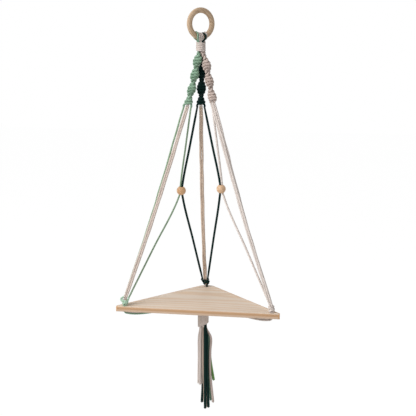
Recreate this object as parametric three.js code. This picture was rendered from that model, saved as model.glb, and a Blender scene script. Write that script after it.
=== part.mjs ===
// Hanging rope shelf: a three-cornered board hung by knotted cotton cords from a wooden ring.
// Millimetres, +Z up. The origin is where a hook bears on the ring, at the top of its hole.
// +X runs along the board's front edge, and +Y points to the corner of the room.
import * as THREE from "three";

// Ring
const ringRadius = 29; // centre line
const ringBarRadius = 6;
const ringYaw = THREE.MathUtils.degToRad(40); // the ring's plane, turned about the plumb line
const ringSteps = 44;
const ringBarSides = 12;

// Cords
const cordRadius = 2;
const cordSpacing = 4.3; // centre to centre, side by side
const cordSides = 8;
const seatGap = 0.3; // between pieces that touch
const loopCount = 6;
const loopPitch = 4.2;
const loopShift = -1.6; // of the six from the middle of the ring
const loopHalfWidth = 1.7; // a cord pressed on the ring
const loopHalfDepth = 1.9;
const loopEndHalfWidth = 0.95; // pressed by the wrap
const loopEndHalfDepth = 1.6;
const loopEndOffset = 5.2; // from the ring's plane
const loopEndPitchShare = 0.66;
const loopOverhang = THREE.MathUtils.degToRad(30); // how far each side hugs the bar below its middle
const loopSteps = 10;

// Wraps: one cord wound round the gathered strands
const wrapCordRadius = 1.8;
const wrapPitch = 4.2;
const wrapSteps = 24; // a turn
const wrapSides = 6;
const leastWrapGap = 0.4;
const topWrapDrop = 2.3; // from the ring's underside to the top wrap
const topWrapTurns = 5;
const topCoreRadius = 7;
const coreSides = 24;
const bottomWrapTurns = 8;
const bottomCoreRadius = 9.3;

// Spiral sinnets: half knots that turn as they go down
const sinnetHalfWidth = 10.3;
const sinnetHalfDepth = 4.8;
const sinnetTopRadius = 2.9;
const sinnetSides = 14;
const sinnetRings = 30;
// Where the four cords leave each sinnet, along X and Y from its middle
const sinnetPlaces = {
  mint: [[-8, 0], [-2.15, 0], [2.15, 0], [8, 0]],
  dark: [[-8, 0], [-2.15, 0], [2.15, 0], [8, 0]],
  white: [[-1.4, 4.4], [-6.2, 0], [-1.8, -0.4], [2.9, 0.2]],
};
// Each middle line as x, y and drop. A sinnet grows to its full width over its flare. Its lowest wide
// place is crest above its foot, and below that it stops turning.
const sinnets = {
  mint: { middle: [[-4, -1.6, 0], [-6.8, -3.5, 16.5], [-16.4, -8, 68.6], [-28.5, -12, 118.5]], flare: 17, halfTurn: 31.3, crest: 7.7 },
  dark: { middle: [[0, 4.8, 0], [1, 11.8, 40], [-2.4, 18, 121]], flare: 48, halfTurn: 36, crest: 7 },
  white: { middle: [[5, -1.6, 0], [12, -3.8, 18.6], [18.6, -7.5, 55], [29.4, -12, 108]], flare: 20, halfTurn: 34.4, crest: 13.4 },
};

// Board
const shelfDrop = 645; // from the ring's centre to the board's top
const boardLeg = 284; // each of the two sides that face the walls
const boardThickness = 12;
const tipCut = 9.8; // each sharp tip is cut off square to the front edge
const tipRadius = 3;
const apexRadius = 27;
const tipHoleInset = 12; // from both edges
const apexHoleInset = 11; // from the rounded apex
const apexHoleShift = 2.4; // left of the apex
const holeRadius = 5.4;
const roundSteps = 10;

// Knots above the board: lift above it, lean of the top along X, and half width and half depth of the top
const knots = {
  left: { color: "mint", lift: 3, height: 16, halfWidth: 9.9, lean: 2.8, top: [8.6, 5] },
  back: { color: "dark", lift: 6.5, height: 12.5, halfWidth: 9.9, lean: -2.7, top: [8.6, 2.9] },
  right: { color: "white", lift: 2.5, height: 12, halfWidth: 8, lean: -1.8, top: [6, 4.4] },
};
const knotHalfDepth = 5.6;
const knotFootRadius = 4.7;
const knotSides = 16;
const knotRings = 7;

// Strands between the sinnets and the knots: how far the unbeaded ones sag, and where along them
const sags = { left: [3.4, 1], back: [-1.8, -2], right: [-4.6, 1.2] };
const sagShare = 0.62;
// Each corner's four strands over its knot: places along X and Y in cord spacings
const rowPlaces = {
  left: [[-1.07, 0.88], [-0.84, -0.23], [0.19, -0.23], [1.5, 0]],
  back: [[-1.5, 0], [-0.5, 0], [0.5, 0], [1.5, 0]],
  right: [[-0.51, 0.51], [-0.51, -0.51], [0.51, -0.51], [0.51, 0.51]],
};

// Beads
const beadRadius = 10.8;
const beadBoreRadius = 4.6;
const beadSteps = 20;
const beadArcSteps = 9;
const beadPlaces = { left: [-48.5, 16.1, -403.4], right: [45.4, 16.1, -396.6] };

// Strands under the board, and the point where they are gathered
const gatherShift = 6; // of the bottom wrap from the plumb line, along X
const bendRadius = 3.4; // inner cord of each pair
const bendSteps = 4;
const gatherDrop = 6; // straight run from the bend to the bottom wrap
const gatherSqueezeShare = 0.8; // how far the wrap presses the strands together

const ringCentreZ = ringBarRadius - ringRadius;
const barBottomZ = ringCentreZ - ringRadius;
const topWrapZ = barBottomZ - ringBarRadius - topWrapDrop;
const boardTopZ = ringCentreZ - shelfDrop;
const boardBottomZ = boardTopZ - boardThickness;
const halfBoard = boardLeg / Math.SQRT2; // the front edge's half length, and the depth
const frontEdgeY = -halfBoard / 3; // the board's middle hangs under the ring
const apexY = frontEdgeY + halfBoard;

const paint = (color, roughness) => new THREE.MeshStandardMaterial({ color, roughness, metalness: 0 });
const ringWood = paint("#c8a37a", 0.6);
const beadWood = paint("#dcae7c", 0.55);
const boardWood = paint("#d9c3a6", 0.65);
const cotton = {
  white: paint("#e3d9d2", 0.95),
  mint: paint("#a8c9ae", 0.95),
  dark: paint("#0f2f2c", 0.95),
};

const model = new THREE.Group();

function place(name, geometry, material) {
  const mesh = new THREE.Mesh(geometry, material);
  mesh.name = name;
  model.add(mesh);
  return mesh;
}

// A closed skin over rings of points. Each station turns counter-clockwise about the way it faces.
function loft(stations, sides) {
  const positions = [];
  const rings = stations.map(({ at, across, facing, wide, deep }) => {
    const up = facing.clone().cross(across).normalize();
    return Array.from({ length: sides }, (_, i) => {
      const angle = (2 * Math.PI * i) / sides;
      return at
        .clone()
        .addScaledVector(across, wide * Math.cos(angle))
        .addScaledVector(up, deep * Math.sin(angle));
    });
  });
  const face = (...corners) => corners.forEach((p) => positions.push(p.x, p.y, p.z));
  const first = stations[0].at;
  const last = stations[stations.length - 1].at;
  for (let i = 0; i < sides; i++) {
    const j = (i + 1) % sides;
    face(first, rings[0][j], rings[0][i]);
    face(last, rings[rings.length - 1][i], rings[rings.length - 1][j]);
    for (let r = 1; r < rings.length; r++) {
      face(rings[r - 1][i], rings[r - 1][j], rings[r][j]);
      face(rings[r - 1][i], rings[r][j], rings[r][i]);
    }
  }
  return new THREE.BufferGeometry().setAttribute("position", new THREE.Float32BufferAttribute(positions, 3));
}

// A route through given stations, with one ring of the tube at each of them.
class Route extends THREE.Curve {
  constructor(points, startFacing, endFacing) {
    super();
    this.points = points;
    const runs = points.slice(1).map((p, i) => p.clone().sub(points[i]).normalize());
    this.facings = points.map((_, i) => {
      if (i === 0) return startFacing ?? runs[0];
      if (i === runs.length) return endFacing ?? runs[i - 1];
      return runs[i - 1].clone().add(runs[i]).normalize();
    });
  }
  getPointAt(u) {
    return this.points[Math.round(u * (this.points.length - 1))].clone();
  }
  getTangentAt(u) {
    return this.facings[Math.round(u * (this.points.length - 1))].clone();
  }
}

function tube(points, radius, sides, startFacing, endFacing) {
  const section = Array.from({ length: sides }, (_, i) => {
    const angle = (2 * Math.PI * i) / sides;
    return new THREE.Vector2(radius * Math.cos(angle), radius * Math.sin(angle));
  });
  return new THREE.ExtrudeGeometry(new THREE.Shape(section), {
    steps: points.length - 1,
    extrudePath: new Route(points, startFacing, endFacing),
    bevelEnabled: false,
  });
}

const at = (x, y, z) => new THREE.Vector3(x, y, z);
const down = at(0, 0, -1);
const upwards = at(0, 0, 1);
const alongX = at(1, 0, 0);

// Wooden ring, upright, in a plane turned about the plumb line
const ring = place("ring", new THREE.TorusGeometry(ringRadius, ringBarRadius, ringBarSides, ringSteps), ringWood);
ring.rotation.set(Math.PI / 2, 0, ringYaw, "ZYX");
ring.position.z = ringCentreZ;

// Six cords folded over the ring, side by side along the bar
const barAlong = at(Math.cos(ringYaw), Math.sin(ringYaw), 0);
const barAcross = at(-Math.sin(ringYaw), Math.cos(ringYaw), 0);

// The least loop that clears the bar under the whole width of its cord
function loopRadius(offset, barDrop) {
  const samples = 8;
  let reach = 0;
  for (let i = 0; i <= samples; i++) {
    const share = i / samples;
    const side = Math.abs(offset) + share * loopHalfWidth;
    const holeEdge = Math.sqrt((ringRadius - ringBarRadius) ** 2 - side ** 2);
    reach = Math.max(reach, barDrop - holeEdge + loopHalfDepth * Math.sqrt(1 - share ** 2));
  }
  return reach + seatGap;
}

function cordLoop(offset) {
  const barDrop = Math.sqrt(ringRadius ** 2 - offset ** 2);
  const barZ = ringCentreZ - barDrop;
  const radius = loopRadius(offset, barDrop);
  const spot = (along, across, z) =>
    barAlong.clone().multiplyScalar(along).addScaledVector(barAcross, across).setZ(z);
  const end = (side) => spot((offset - loopShift) * loopEndPitchShare, side * loopEndOffset, topWrapZ + seatGap);
  const stations = [];
  const sweep = Math.PI + 2 * loopOverhang;
  for (let i = 0; i <= loopSteps; i++) {
    const angle = Math.PI + loopOverhang - (sweep * i) / loopSteps;
    const facing = barAcross.clone().multiplyScalar(Math.sin(angle)).setZ(-Math.cos(angle));
    const across = radius * Math.cos(angle);
    stations.push({
      at: spot(offset, across, barZ + radius * Math.sin(angle)),
      across: barAlong,
      facing,
      wide: loopHalfWidth,
      deep: loopHalfDepth,
    });
  }
  const pressed = { across: barAlong, wide: loopEndHalfWidth, deep: loopEndHalfDepth };
  stations.unshift({ ...pressed, at: end(-1), facing: upwards });
  stations.push({ ...pressed, at: end(1), facing: down });
  return loft(stations, cordSides);
}

const loopNames = [
  ["mint_ring_loop", "mint"],
  ["white_ring_loop_1", "white"],
  ["white_ring_loop_2", "white"],
  ["white_ring_loop_3", "white"],
  ["dark_ring_loop", "dark"],
  ["white_ring_loop_4", "white"],
];
loopNames.forEach(([name, color], i) => {
  place(name, cordLoop(loopShift + (i - (loopCount - 1) / 2) * loopPitch), cotton[color]);
});

// A wrap: one cord wound round a core, its two ends run straight off the coil
function wrapPoints(radius, topZ, turns, centreX) {
  const points = [];
  const count = turns * wrapSteps;
  const startZ = topZ - wrapCordRadius;
  for (let i = 0; i <= count; i++) {
    const angle = (2 * Math.PI * i) / wrapSteps;
    const z = startZ - (wrapPitch * i) / wrapSteps;
    points.push(at(centreX + radius * Math.cos(angle), radius * Math.sin(angle), z));
  }
  const straight = 2 * wrapCordRadius;
  points.unshift(at(centreX + radius, -straight, startZ));
  points.push(at(centreX + radius, straight, startZ - wrapPitch * turns));
  return points;
}

function leastGap(points) {
  let gap = Infinity;
  for (let i = 0; i < points.length; i++) {
    for (let j = i + wrapSteps / 2; j < points.length; j++) {
      gap = Math.min(gap, points[i].distanceTo(points[j]) - 2 * wrapCordRadius);
    }
  }
  return gap;
}

function wrap(name, coreName, coreRadius, topZ, turns, centreX) {
  const points = wrapPoints(coreRadius + seatGap + wrapCordRadius, topZ, turns, centreX);
  const gap = leastGap(points);
  console.log(name + ": least gap between turns " + gap.toFixed(2) + " mm");
  if (gap <= leastWrapGap) throw new Error(name + " touches itself");
  place(name, tube(points, wrapCordRadius, wrapSides), cotton.white);
  const height = wrapHeight(turns);
  const core = new THREE.CylinderGeometry(coreRadius, coreRadius, height, coreSides);
  const mesh = place(coreName, core, cotton.white);
  mesh.rotation.x = Math.PI / 2;
  mesh.position.set(centreX, 0, topZ - height / 2);
}

function wrapHeight(turns) {
  return turns * wrapPitch + 2 * wrapCordRadius;
}

wrap("top_wrap", "gathered_cords_top", topCoreRadius, topWrapZ, topWrapTurns, 0);

// The three sinnets hang from the wrap and spread to the corners
const sinnetTopZ = topWrapZ - wrapHeight(topWrapTurns) - seatGap;

function middleAt(middle, drop) {
  const i = Math.max(1, middle.findIndex((p) => p[2] >= drop - 1e-9));
  const [[x0, y0, drop0], [x1, y1, drop1]] = [middle[i - 1], middle[i]];
  const share = (drop - drop0) / (drop1 - drop0);
  return at(THREE.MathUtils.lerp(x0, x1, share), THREE.MathUtils.lerp(y0, y1, share), sinnetTopZ - drop);
}

function sinnet({ middle, flare, halfTurn, crest }) {
  const length = middle[middle.length - 1][2];
  const stations = [];
  for (let i = 0; i < sinnetRings; i++) {
    const height = (length * i) / (sinnetRings - 1);
    const grown = THREE.MathUtils.smoothstep(length - height, 0, flare);
    const turn = (-Math.PI * Math.max(0, height - crest)) / halfTurn;
    stations.push({
      at: middleAt(middle, length - height),
      across: at(Math.cos(turn), Math.sin(turn), 0),
      facing: upwards,
      wide: THREE.MathUtils.lerp(sinnetTopRadius, sinnetHalfWidth, grown),
      deep: THREE.MathUtils.lerp(sinnetTopRadius, sinnetHalfDepth, grown),
    });
  }
  return loft(stations, sinnetSides);
}

for (const [color, shape] of Object.entries(sinnets)) {
  place(color + "_sinnet", sinnet(shape), cotton[color]);
}

// Board: a right-angled triangle with blunt tips, a round back corner and a hole at each of them
const tipHoleX = halfBoard - tipHoleInset / Math.tan(Math.PI / 8);
const roundedApexY = apexY - apexRadius * (Math.SQRT2 - 1);
const holes = {
  left: at(-tipHoleX, frontEdgeY + tipHoleInset, 0),
  back: at(-apexHoleShift, roundedApexY - apexHoleInset, 0),
  right: at(tipHoleX, frontEdgeY + tipHoleInset, 0),
};

function roundCorner(shape, corner, before, after, radius) {
  const towards = before.clone().sub(corner).normalize();
  const onwards = after.clone().sub(corner).normalize();
  const halfAngle = Math.acos(towards.dot(onwards)) / 2;
  const middle = towards.clone().add(onwards).normalize();
  const centre = corner.clone().addScaledVector(middle, radius / Math.sin(halfAngle));
  const start = Math.atan2(middle.y, middle.x) + Math.PI - (Math.PI / 2 - halfAngle);
  shape.absarc(centre.x, centre.y, radius, start, start + Math.PI - 2 * halfAngle, false);
}

function board() {
  const tipX = halfBoard - tipCut;
  const corners = [
    new THREE.Vector2(-tipX, frontEdgeY),
    new THREE.Vector2(tipX, frontEdgeY),
    new THREE.Vector2(tipX, frontEdgeY + tipCut),
    new THREE.Vector2(0, apexY),
    new THREE.Vector2(-tipX, frontEdgeY + tipCut),
  ];
  const radii = [tipRadius, tipRadius, tipRadius, apexRadius, tipRadius];
  const outline = new THREE.Shape();
  corners.forEach((corner, i) => {
    roundCorner(outline, corner, corners.at(i - 1), corners[(i + 1) % corners.length], radii[i]);
  });
  for (const hole of Object.values(holes)) {
    outline.holes.push(new THREE.Path().absarc(hole.x, hole.y, holeRadius, 0, 2 * Math.PI, true));
  }
  return new THREE.ExtrudeGeometry(outline, {
    depth: boardThickness,
    bevelEnabled: false,
    curveSegments: roundSteps,
  });
}

place("shelf_board", board(), boardWood).position.z = boardBottomZ;

// Square knots that stop the cords above each hole
function squareKnot(hole, { lift, height, halfWidth, lean, top }) {
  const stations = [];
  for (let i = 0; i < knotRings; i++) {
    const share = i / (knotRings - 1); // 0 at the foot
    const belly = Math.sin(Math.PI * share);
    const footWide = THREE.MathUtils.lerp(knotFootRadius, top[0], share);
    const footDeep = THREE.MathUtils.lerp(knotFootRadius, top[1], share);
    stations.push({
      at: at(hole.x + lean * share * share, hole.y, boardTopZ + lift + share * height),
      across: alongX,
      facing: upwards,
      wide: THREE.MathUtils.lerp(footWide, halfWidth, belly),
      deep: THREE.MathUtils.lerp(footDeep, knotHalfDepth, belly),
    });
  }
  return loft(stations, knotSides);
}

for (const [corner, knot] of Object.entries(knots)) {
  place(corner + "_knot", squareKnot(holes[corner], knot), cotton[knot.color]);
}

// Strands from the sinnets to the knots, four to each corner
function strand(name, color, from, sinnetSlot, corner, knotSlot, bead, beadSide, aside = [0, 0]) {
  const [endX, endY, drop] = sinnets[from].middle.at(-1);
  const [startX, startY] = sinnetPlaces[from][sinnetSlot];
  const hole = holes[corner];
  const { lift, height, lean } = knots[corner];
  const [rowX, rowY] = rowPlaces[corner][knotSlot].map((place) => place * cordSpacing);
  const points = [
    at(endX + startX, endY + startY, sinnetTopZ - drop - seatGap),
    at(hole.x + lean + rowX, hole.y + rowY, boardTopZ + lift + height + seatGap),
  ];
  if (bead) {
    const [x, y, z] = beadPlaces[bead];
    const inBore = x + (beadSide * cordSpacing) / 2;
    points.splice(1, 0, at(inBore, y, z + beadRadius), at(inBore, y, z - beadRadius));
  } else {
    const [sagX, sagY] = sags[corner];
    const low = points[0].clone().lerp(points[1], sagShare);
    points.splice(1, 0, low.add(at(sagX + aside[0], sagY + aside[1], 0)));
  }
  place(name, tube(points, cordRadius, cordSides, down, down), cotton[color]);
}

strand("left_mint_strand", "mint", "mint", 0, "left", 0);
strand("left_white_strand_1", "white", "mint", 1, "left", 1);
strand("left_white_strand_2", "white", "mint", 2, "left", 2);
strand("left_beaded_mint_strand", "mint", "mint", 3, "left", 3, "left", -1);
strand("back_beaded_dark_strand_left", "dark", "dark", 0, "back", 0, "left", 1);
strand("back_white_strand_1", "white", "dark", 1, "back", 1);
strand("back_white_strand_2", "white", "dark", 2, "back", 2);
strand("back_beaded_dark_strand_right", "dark", "dark", 3, "back", 3, "right", -1);
strand("right_beaded_white_strand", "white", "white", 0, "right", 0, "right", 1);
strand("right_white_strand_1", "white", "white", 1, "right", 1);
strand("right_white_strand_2", "white", "white", 2, "right", 2);
strand("right_white_strand_3", "white", "white", 3, "right", 3, null, 0, [-2.1, 3.8]);

// Round beads with a bore that two cords share
function bead() {
  const mouth = Math.acos(beadBoreRadius / beadRadius);
  const profile = [];
  for (let i = 0; i <= beadArcSteps; i++) {
    const angle = -mouth + (2 * mouth * i) / beadArcSteps;
    profile.push(new THREE.Vector2(beadRadius * Math.cos(angle), beadRadius * Math.sin(angle)));
  }
  profile.push(profile[0].clone());
  return new THREE.LatheGeometry(profile, beadSteps);
}

for (const [side, spot] of Object.entries(beadPlaces)) {
  const mesh = place(side + "_bead", bead(), beadWood);
  mesh.rotation.x = Math.PI / 2;
  mesh.position.set(...spot);
}

// Strands that pass down each hole and run along the underside to the gathering point
const upperRunZ = boardBottomZ - seatGap - cordRadius;
const lowerRunZ = upperRunZ - cordSpacing;
const outerBendRadius = bendRadius + cordSpacing;
const bottomWrapZ = lowerRunZ - bendRadius - gatherDrop;
const gather = at(gatherShift, 0, 0);
const innerReach = 1.02 * cordSpacing; // from the gathering axis to the nearest strands

function underStrand(hole, lift, layer, side) {
  const inward = gather.clone().sub(hole).setZ(0);
  const distance = inward.length();
  inward.normalize();
  const lateral = at(-inward.y, inward.x, 0);
  const spot = (run, offset, z) => hole.clone().addScaledVector(inward, run).addScaledVector(lateral, offset).setZ(z);
  const offset = (side * cordSpacing) / 2;
  const upper = layer === 0;
  const holeBend = upper ? bendRadius : outerBendRadius;
  const gatherBend = upper ? outerBendRadius : bendRadius;
  const runZ = upper ? upperRunZ : lowerRunZ;
  const holeCentre = cordSpacing / 2 + bendRadius;
  const holeCentreZ = upperRunZ + bendRadius;
  const gatherCentre = distance - innerReach - outerBendRadius;
  const round = { across: lateral, wide: cordRadius, deep: cordRadius };
  const stations = [
    { ...round, at: spot(holeCentre - holeBend, offset, boardTopZ + lift - seatGap), facing: down },
  ];
  for (let i = 0; i <= bendSteps; i++) {
    const angle = (Math.PI * i) / (2 * bendSteps);
    const run = holeCentre - holeBend * Math.cos(angle);
    const facing = inward.clone().multiplyScalar(Math.sin(angle)).setZ(-Math.cos(angle));
    stations.push({ ...round, at: spot(run, offset, holeCentreZ - holeBend * Math.sin(angle)), facing });
  }
  for (let i = 0; i <= bendSteps; i++) {
    const angle = (Math.PI * i) / (2 * bendSteps);
    const run = gatherCentre + gatherBend * Math.sin(angle);
    const facing = inward.clone().multiplyScalar(Math.cos(angle)).setZ(-Math.sin(angle));
    const z = runZ - gatherBend * (1 - Math.cos(angle));
    stations.push({ ...round, at: spot(run, offset, z), facing });
  }
  const reach = distance - gatherCentre - gatherBend;
  const squeezed = gatherSqueezeShare;
  stations.push({
    across: lateral,
    wide: cordRadius * squeezed,
    deep: cordRadius * squeezed,
    at: spot(distance - reach * squeezed, offset * squeezed, bottomWrapZ + seatGap),
    facing: down,
  });
  return loft(stations, cordSides);
}

const underColors = {
  left: ["white", "mint", "mint", "white"],
  back: ["white", "dark", "white", "dark"],
  right: ["white", "white", "white", "white"],
};
for (const [corner, colors] of Object.entries(underColors)) {
  colors.forEach((color, i) => {
    const layer = Math.floor(i / 2);
    const side = i % 2 === 0 ? -1 : 1;
    const geometry = underStrand(holes[corner], knots[corner].lift, layer, side);
    place(corner + "_under_strand_" + (i + 1), geometry, cotton[color]);
  });
}

wrap("bottom_wrap", "gathered_cords_bottom", bottomCoreRadius, bottomWrapZ, bottomWrapTurns, gatherShift);

// Tassel: the cords' loose tails, each by its own route from the bottom wrap
const tails = {
  white_tail_1: ["white", [[-6.6, -2.1, 0], [-9.6, -3, -20], [-10.4, -3.4, -70], [-11.3, -4, -143]]],
  white_tail_2: ["white", [[-4.1, -5.6, 0], [-5.6, -6.6, -20], [-6.1, -7, -70], [-6.8, -7.6, -145]]],
  white_tail_3: ["white", [[0, -6.9, 0], [0.5, -7.6, -25], [0.8, -7.8, -90], [3.2, -5, -155], [3.9, -4.4, -193]]],
  dark_tail_1: ["dark", [[4.1, -5.6, 0], [5.4, -7.6, -22], [5.6, -8.4, -100], [6, -8.8, -207]]],
  dark_tail_2: ["dark", [[6.6, -2.1, 0], [9.8, -5.4, -22], [10.5, -6.4, -60], [10.8, -6.4, -100], [14.2, -7, -204]]],
  white_tail_4: ["white", [[6.6, 2.1, 0], [18, -0.5, -24], [17.4, -1.6, -60], [17, -1.8, -105], [25, -3, -192]]],
  mint_tail_1: ["mint", [[1.3, 2.2, 0], [9.5, 3.4, -30], [13, 3.2, -65], [13.6, 3, -110], [18.4, 2.4, -190]]],
  white_tail_5: ["white", [[0, 6.9, 0], [3.4, 9.8, -50], [6, 10.4, -110], [7.4, 11.4, -182]]],
  mint_tail_2: ["mint", [[4.1, 5.6, 0], [12.4, 9.2, -45], [16.6, 9.2, -90], [24.6, 8.6, -139]]],
  dark_tail_3: ["dark", [[-4.1, 5.6, 0], [-3.6, 4.4, -50], [-2.4, 3.4, -110], [-1.6, 2.4, -150], [-3.4, 1.6, -196]]],
  white_tail_6: ["white", [[-6.6, 2.1, 0], [-8, 2.4, -45], [-8.6, 3, -90], [-9, 3.6, -143]]],
  white_tail_7: ["white", [[-2.5, 0, 0], [-2.8, -1.8, -30], [-2.9, -2.4, -90], [-3.2, -2.2, -145]]],
  white_tail_8: ["white", [[1.3, -2.2, 0], [4, -2.6, -50], [8, -3.4, -110], [10.6, -3.6, -205]]],
};
const tailSteps = 13;
const tailTopZ = bottomWrapZ - wrapHeight(bottomWrapTurns) - seatGap;
const tailTop = at(gatherShift, 0, tailTopZ);
for (const [name, [color, route]] of Object.entries(tails)) {
  const points = route.map((p) => at(...p).add(tailTop));
  const curve = new THREE.CatmullRomCurve3(points);
  place(name, tube(curve.getSpacedPoints(tailSteps), cordRadius, cordSides, down), cotton[color]);
}

export default model;
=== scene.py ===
# Hanging rope shelf: a three-cornered board hung by knotted cotton cords from a wooden ring.
# Metres, +Z up. The origin is where a hook bears on the ring, and +X runs along the board's front edge.
import math

import bpy
import numpy as np
from mathutils import Matrix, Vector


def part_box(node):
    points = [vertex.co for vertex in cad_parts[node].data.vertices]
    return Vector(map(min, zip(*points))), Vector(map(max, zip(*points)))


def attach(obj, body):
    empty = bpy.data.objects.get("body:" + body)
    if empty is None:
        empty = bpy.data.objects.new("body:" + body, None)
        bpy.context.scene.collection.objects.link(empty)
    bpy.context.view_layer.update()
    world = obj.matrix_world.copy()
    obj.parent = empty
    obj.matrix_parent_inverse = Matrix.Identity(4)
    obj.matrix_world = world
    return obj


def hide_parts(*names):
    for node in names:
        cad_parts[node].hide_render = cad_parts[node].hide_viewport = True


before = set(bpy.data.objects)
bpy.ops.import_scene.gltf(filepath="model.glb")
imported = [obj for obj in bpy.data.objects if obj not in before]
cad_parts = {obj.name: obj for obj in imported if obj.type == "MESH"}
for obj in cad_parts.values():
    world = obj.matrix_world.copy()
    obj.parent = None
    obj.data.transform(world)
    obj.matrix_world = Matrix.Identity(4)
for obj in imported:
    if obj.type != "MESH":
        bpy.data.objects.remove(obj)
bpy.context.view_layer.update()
bpy.ops.object.select_all(action="DESELECT")

# Camera
# It stands a little to the right of the shelf and looks slightly down on the board.
view_place = (0.2520, -1.7477, -0.0427)
view_yaw = math.radians(7.66)
view_pitch = math.radians(12.68)
view_roll = math.radians(0.135)
picture_width = 416  # pixels
focal_length = 778.52  # pixels
sensor_width = 36
bpy.ops.object.camera_add(location=view_place)
camera = bpy.context.object
turn = Matrix.Rotation(view_yaw, 3, "Z") @ Matrix.Rotation(math.pi / 2 - view_pitch, 3, "X")
camera.rotation_euler = (turn @ Matrix.Rotation(view_roll, 3, "Z")).to_euler()
camera.data.sensor_width = sensor_width
camera.data.lens = sensor_width * focal_length / picture_width
camera.data.clip_start = 0.01
bpy.context.scene.camera = camera


# Wooden ring
# Turned from a pale board and sanded, so its grain runs straight across the ring.
# It hangs upright on the hook, and the six cords are folded over its lowest part.
class Value:
    """A number or colour inside a finish. Sums with it add Math nodes."""

    def __init__(self, finish, socket):
        self.finish = finish
        self.socket = socket

    def math(self, operation, *values):
        return self.finish.node("ShaderNodeMath", {"operation": operation}, dict(enumerate(values)))

    def __add__(self, other):
        return self.math("ADD", self, other)

    def __radd__(self, other):
        return self.math("ADD", other, self)

    def __sub__(self, other):
        return self.math("SUBTRACT", self, other)

    def __rsub__(self, other):
        return self.math("SUBTRACT", other, self)

    def __mul__(self, other):
        return self.math("MULTIPLY", self, other)

    def __pow__(self, other):
        return self.math("POWER", self, other)

    def sine(self):
        return self.math("SINE", self)

    def between(self, low, high):
        """0 below low, 1 above high, and smooth between them."""
        settings = {"interpolation_type": "SMOOTHSTEP"}
        inputs = {"Value": self, "From Min": low, "From Max": high}
        return self.finish.node("ShaderNodeMapRange", settings, inputs)


class Finish:
    """A material with one Principled shader."""

    def __init__(self, name, **plain):
        self.material = bpy.data.materials.new(name)
        self.material.use_nodes = True
        self.shader = self.material.node_tree.nodes["Principled BSDF"]
        for key, value in plain.items():
            self.shader.inputs[key.replace("_", " ")].default_value = value

    def node(self, kind, settings=None, inputs=None, output=0):
        node = self.material.node_tree.nodes.new(kind)
        for key, value in (settings or {}).items():
            setattr(node, key, value)
        for key, value in (inputs or {}).items():
            self.feed(node.inputs[key], value)
        return Value(self, node.outputs[output])

    def feed(self, socket, value):
        if isinstance(value, Value):
            self.material.node_tree.links.new(value.socket, socket)
        else:
            socket.default_value = value

    def mix(self, share, low, high):
        return self.node("ShaderNodeMix", {"data_type": "RGBA"}, {0: share, 6: low, 7: high}, output=2)

    def noise(self, place, scale, detail=4.0, rough=0.55):
        inputs = {"Vector": place, "Scale": scale, "Detail": detail, "Roughness": rough}
        return self.node("ShaderNodeTexNoise", None, inputs)

    def placed(self, turned=(0, 0, 0), stretch=(1, 1, 1), origin=(0, 0, 0)):
        """Object coordinates, moved to an origin, turned and stretched."""
        place = self.node("ShaderNodeTexCoord", output="Object")
        inputs = {"Vector": place, "Location": [-c for c in origin]}
        moved = self.node("ShaderNodeMapping", None, inputs)
        inputs = {"Vector": moved, "Rotation": [-angle for angle in turned]}
        around = self.node("ShaderNodeMapping", None, inputs)
        return self.node("ShaderNodeMapping", None, {"Vector": around, "Scale": stretch})

    def parts(self, place):
        return [self.node("ShaderNodeSeparateXYZ", None, {0: place}, output=i) for i in range(3)]

    def show(self, color, roughness, height, depth):
        self.feed(self.shader.inputs["Base Color"], color)
        self.feed(self.shader.inputs["Roughness"], roughness)
        bump = self.node("ShaderNodeBump", None, {"Height": height, "Distance": depth, "Strength": 1.0})
        self.feed(self.shader.inputs["Normal"], bump)


def paint(red, green, blue):
    """A colour as the eye names it, made linear for the shader."""
    linear = [c / 12.92 if c < 0.04045 else ((c + 0.055) / 1.055) ** 2.4 for c in (red, green, blue)]
    return (*linear, 1.0)


wood_relief = 0.00012
coat_roughness = 0.35


def wood(
    name, light, dark, pore, band, turned=(0, 0, 0), heart=(0, 0, 0), coat=0.0, bands=0.55, tint=None
):
    """Wood with its grain along the turned X axis and its growth rings, a band apart, round the heart."""
    finish = Finish(name, Coat_Weight=coat, Coat_Roughness=coat_roughness, Specular_IOR_Level=0.35)
    along, across, deep = finish.parts(finish.placed(turned, origin=heart))
    sway = finish.noise(finish.placed(turned, (4, 22, 22)), 1.0, 3.0)
    distance = (across ** 2 + deep ** 2) ** 0.5 + (sway - 0.5) * (2.2 * band)
    ring = ((distance * (2 * math.pi / band)).sine() * 0.5 + 0.5) ** 2
    fibre = finish.noise(finish.placed(turned, (30, 900, 900)), 1.0, 5.0, 0.7)
    cloud = finish.noise(finish.placed(turned, (9, 60, 60)), 1.0, 3.0)
    color = finish.mix(ring * bands + (cloud - 0.35) * 0.5, light, dark)
    color = finish.mix(fibre.between(0.56, 0.72) * 0.35, color, pore)
    if tint:
        color = tint(finish, color)
    roughness = 0.5 + fibre * 0.18
    finish.show(color, roughness, fibre * 0.6 + ring * 0.4, wood_relief)
    return finish.material


ring_bar = 0.006  # radius of the bar
ring_radius = 0.029  # from the ring's middle to the bar's
ring_yaw = math.radians(40)
side_slope = 0.86  # least share of a face's normal along the ring's axis, on the ring's two sides
side_press = 0.95  # share of its thickness that is left where the sides are sanded
ring_low, ring_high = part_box("ring")
ring_centre = (ring_low + ring_high) / 2
bpy.ops.mesh.primitive_torus_add(
    major_radius=ring_radius, minor_radius=ring_bar, major_segments=96, minor_segments=32
)
ring = bpy.context.object
ring.name = "wooden_ring"
bpy.ops.object.mode_set(mode="EDIT")
bpy.ops.mesh.select_all(action="DESELECT")
bpy.ops.object.mode_set(mode="OBJECT")
for face in ring.data.polygons:
    face.select = abs(face.normal.z) > side_slope
bpy.ops.object.mode_set(mode="EDIT")
bpy.ops.transform.resize(value=(1, 1, side_press), center_override=(0, 0, 0))
bpy.ops.object.mode_set(mode="OBJECT")
ring.rotation_euler = (math.pi / 2, 0, ring_yaw)
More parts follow.
